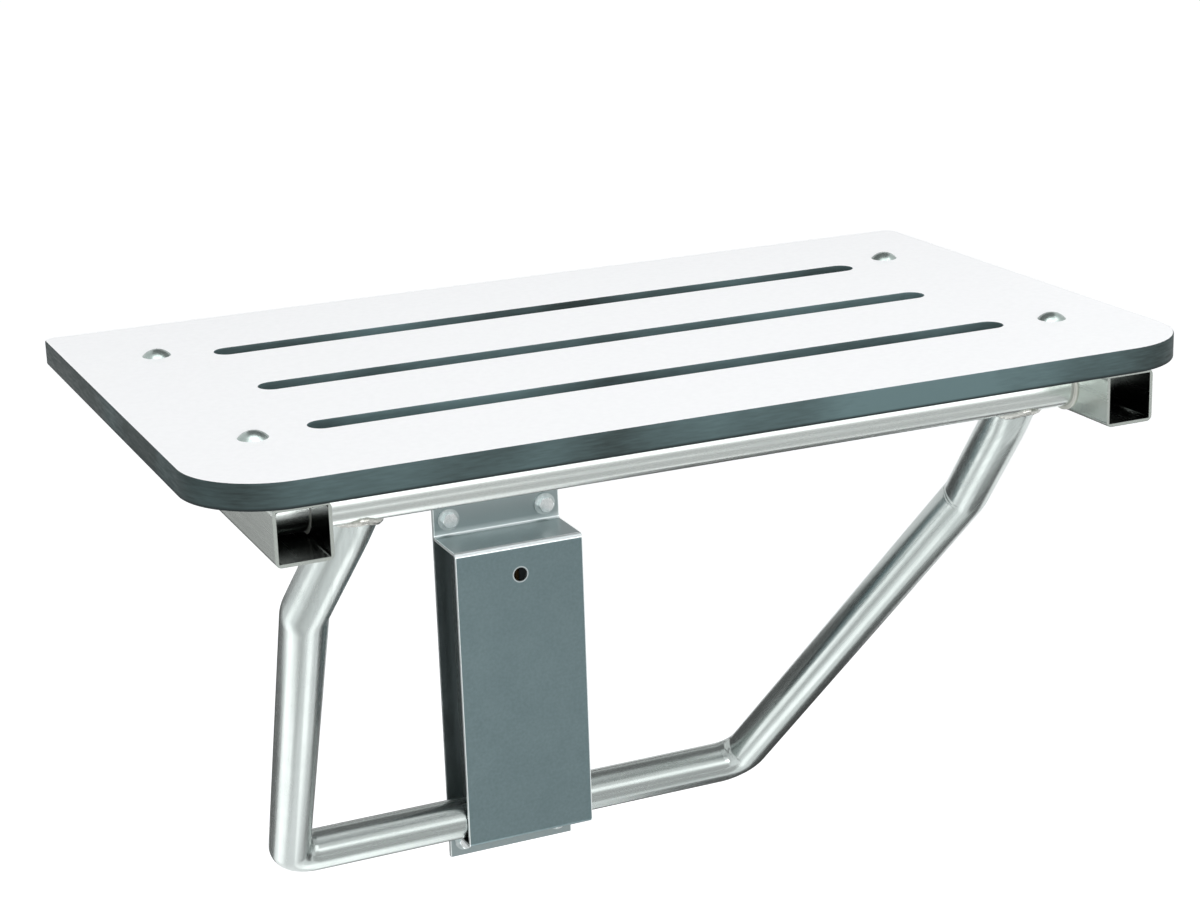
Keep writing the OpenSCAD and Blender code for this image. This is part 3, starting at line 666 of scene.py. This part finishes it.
def leg_skin(side, label, material):
    """One leg, outside and in, with the foot bar's steel from halfway round the lower bend."""
    line = leg_line(side)
    normal = legs_normal()
    build = bmesh.new()
    outer = leg_rings(build, line, normal, 0.0, side)
    inner = leg_rings(build, line, normal, LEG_WALL, side)
    foot_start = len(line) - 2 - BEND_STEPS // 2
    for k in range(len(line) - 1):
        stitch(build, outer[k], outer[k + 1], slot=1 if k >= foot_start else 0)
        stitch(build, inner[k], inner[k + 1])
    for k in (0, -1):
        stitch(build, outer[k], inner[k])
    mesh = smooth_mesh(build, "leg_skin_" + label)
    mesh.set_sharp_from_angle(angle=radians(SHARP_ANGLE))
    skin = link("leg_skin_" + label, mesh, [material, foot_steel])
    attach(skin, "leg_frame")
    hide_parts("leg_" + label)


def sweep(name, points, radii, sides):
    """The mesh of a tube of changing radius along a closed ring of points."""
    build = bmesh.new()
    rings = []
    for k, point in enumerate(points):
        ahead = (points[(k + 1) % len(points)] - points[k - 1]).normalized()
        aside = ahead.cross(Vector((0, 0, 1))).normalized()
        up = aside.cross(ahead)
        turns = [2 * pi * j / sides for j in range(sides)]
        rings.append([build.verts.new(point + radii[k] * (cos(a) * aside + sin(a) * up)) for a in turns])
    for k, ring in enumerate(rings):
        stitch(build, ring, rings[(k + 1) % len(rings)])
    return smooth_mesh(build, name)


def weld_bead(side, label):
    """The weld round a leg's flattened top, along the line where it meets the cross tube."""
    corners = leg_corners(side)
    normal = legs_normal()
    axis = (corners[1] - corners[0]).normalized()
    across = normal.cross(axis)
    points = []
    radii = []
    for k in range(BEAD_POINTS):
        a = 2 * pi * k / BEAD_POINTS
        offset = LEG_R * cos(a) * across + FLAT_R * sin(a) * normal
        points.append(corners[0] + offset + sqrt(CROSS_R ** 2 - (FLAT_R * sin(a)) ** 2) * axis)
        ripple = BEAD_RIPPLE * sin(BEAD_RIPPLES * a) + BEAD_WAVE * sin(BEAD_WAVES * a + side)
        radii.append(BEAD_R * (1 + ripple))
    mesh = sweep("weld_bead_" + label, points, radii, BEAD_SIDES)
    bead = link("weld_bead_" + label, mesh, [weld_steel])
    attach(bead, "leg_frame")


for leg_side, leg_label in ((-1, "left"), (1, "right")):
    leg_skin(leg_side, leg_label, leg_steel("leg_" + leg_label, leg_side))
    weld_bead(leg_side, leg_label)


# Studio, in metres: pale floor, soft lamps, cards that only reflections see, and a white background
FLOOR_Z = -0.75
FLOOR_HALF = 25.0
FLOOR_TONE = 0.92
FLOOR_ROUGHNESS = 0.9
FLOOR_GLOW = 0.28
FLOOR_SEEN = 0.30
FILL_COLOUR = (0.95, 0.98, 1, 1)
FILL_STRENGTH = 0.45
SEAT_MIDDLE = (0, -0.2, 0.05)
LOW_CARD_Z = -0.62


def oblong(centre, across, up):
    """The corners of an oblong from its centre and its two half edges."""
    centre, across, up = Vector(centre), Vector(across), Vector(up)
    return [centre - across - up, centre + across - up, centre + across + up, centre - across + up]


def plane(name, corners, material):
    mesh = bpy.data.meshes.new(name)
    mesh.from_pydata(corners, [], [(0, 1, 2, 3)])
    obj = link(name, mesh, [material])
    return obj


def floor():
    """A wide pale floor that glows a little, and a little more where it is plainly seen."""
    paint = Paint("floor_paint")
    paint.shade({"Base Color": grey(FLOOR_TONE), "Roughness": FLOOR_ROUGHNESS})
    seen = paint.maths("MULTIPLY", paint.plainly_seen(), FLOOR_SEEN)
    level = paint.maths("ADD", seen, FLOOR_GLOW)
    glow = paint.step("ShaderNodeEmission", {"Color": grey(1), "Strength": level})
    paint.feed(paint.surface, paint.step("ShaderNodeAddShader", {0: paint.shader.outputs[0], 1: glow}))
    plane("floor", oblong((0, 0, FLOOR_Z), (FLOOR_HALF, 0, 0), (0, FLOOR_HALF, 0)), paint.material)


def glowing(name, corners, level):
    """A card that glows at one level and that only reflections see."""
    paint = Paint(name + "_paint")
    paint.feed(paint.surface, paint.step("ShaderNodeEmission", {"Color": grey(1), "Strength": level}))
    paint.tree.nodes.remove(paint.shader)
    obj = plane(name, corners, paint.material)
    obj.visible_camera = False
    obj.visible_diffuse = False
    obj.visible_shadow = False


def card(name, facing, distance, half_size, level):
    """A card square on to the seat, in a direction from it."""
    facing = Vector(facing).normalized()
    across = facing.cross(Vector((0, 0, 1))).normalized()
    up = across.cross(facing)
    centre = Vector(SEAT_MIDDLE) + distance * facing
    glowing(name, oblong(centre, across * half_size[0], up * half_size[1]), level)


def strip(name, start, end, half_width, level):
    """A strip lying just above the floor between two places."""
    start, end = Vector((*start, LOW_CARD_Z)), Vector((*end, LOW_CARD_Z))
    half = (end - start) / 2
    side = half.normalized().cross(Vector((0, 0, 1)))
    glowing(name, oblong(start + half, half, side * half_width), level)


def patch(name, places, level):
    """A four-sided card lying just above the floor."""
    glowing(name, [(x, y, LOW_CARD_Z) for x, y in places], level)


def lamp(name, at, aim, size, power):
    data = bpy.data.lights.new(name, "AREA")
    data.shape = "RECTANGLE"
    data.size, data.size_y = size
    data.energy = power
    obj = link(name, data)
    obj.location = at
    obj.rotation_euler = (Vector(aim) - Vector(at)).to_track_quat("-Z", "Y").to_euler()


def world():
    """White where it is plainly seen, and a weaker, cooler fill as a light."""
    sky = bpy.data.worlds.new("studio")
    sky.use_nodes = True
    sky.node_tree.nodes.clear()
    graph = Graph(sky.node_tree)
    fill = graph.step("ShaderNodeBackground", {"Color": FILL_COLOUR, "Strength": FILL_STRENGTH})
    white = graph.step("ShaderNodeBackground", {"Color": grey(1), "Strength": 1.0})
    both = graph.step("ShaderNodeMixShader", {"Fac": graph.plainly_seen(), 1: fill, 2: white})
    graph.feed(graph.tree.nodes.new("ShaderNodeOutputWorld").inputs["Surface"], both)
    bpy.context.scene.world = sky


def camera():
    data = bpy.data.cameras.new("photo_camera")
    data.sensor_width = SENSOR
    data.sensor_fit = "HORIZONTAL"
    data.lens = FOCAL_PIXELS * SENSOR / PHOTO_WIDTH
    obj = link("photo_camera", data)
    turn = Matrix.Rotation(radians(-CAMERA_AZIMUTH), 4, "Z")
    drop = Matrix.Rotation(radians(90 - CAMERA_DROP), 4, "X")
    roll = Matrix.Rotation(radians(CAMERA_ROLL), 4, "Z")
    obj.matrix_world = Matrix.Translation(CAMERA_AT) @ turn @ drop @ roll
    bpy.context.scene.camera = obj


floor()

# What the tubes mirror: dark and pale cards behind and in front, and strips and patches below
card("card_right_back", facing=(0.57, 0.62, -0.53), distance=0.80, half_size=(0.20, 0.24), level=0.08)
card("card_back", facing=(-0.12, 0.94, -0.26), distance=1.0, half_size=(0.40, 0.20), level=0.12)
card("card_high_back", facing=(0.38, 0.90, 0.24), distance=1.1, half_size=(0.45, 0.12), level=0.25)
card("card_left_back", facing=(-0.42, 0.85, -0.25), distance=1.2, half_size=(0.26, 0.18), level=0.45)
card("card_low_back", facing=(-0.33, 0.76, -0.47), distance=0.95, half_size=(0.22, 0.13), level=0.15)
card("card_top_back", facing=(0.198, 0.475, 0.857), distance=1.2, half_size=(0.60, 0.585), level=0.22)
card("card_front", facing=(0.38, -0.88, -0.20), distance=1.7, half_size=(0.75, 0.40), level=0.66)
card("strip_front", facing=(0.38, -0.87, 0.22), distance=1.7, half_size=(0.9, 0.22), level=2.4)
strip("card_low_front", start=(0.50, -1.30), end=(0.50, -0.42), half_width=0.70, level=0.70)
patch("patch_low_left", [(-1.35, 0.30), (-1.25, 0.85), (-0.30, 0.36), (-0.28, 0.05)], level=2.3)
patch("patch_low", [(-0.14, -0.32), (0.10, -0.32), (0.11, 0.02), (-0.04, 0.16)], level=2.3)
patch("patch_low_far", [(0.00, 0.20), (0.60, 0.24), (0.60, 1.10), (0.02, 1.10)], level=0.30)
strip("card_low_middle", start=(-0.82, -0.19), end=(-0.20, -0.02), half_width=0.11, level=0.75)
strip("card_low_right", start=(0.60, -0.24), end=(0.60, 0.20), half_width=0.30, level=0.15)

# Lamps, with their power in watts
lamp("lamp_top", at=(0.1, -0.4, 2.1), aim=(0, -0.2, 0), size=(2.2, 1.6), power=26)
lamp("lamp_left", at=(-1.9, -1.3, 1.1), aim=(0, -0.2, 0), size=(0.9, 1.4), power=0.8)
lamp("lamp_front", at=(-0.3, -2.4, 0.7), aim=(0, -0.3, 0.2), size=(1.2, 0.6), power=14)
lamp("lamp_right", at=(1.7, -1.9, 0.9), aim=(0, -0.2, 0), size=(0.5, 1.5), power=5)
world()
camera()
bpy.context.scene.view_settings.view_transform = "Standard"
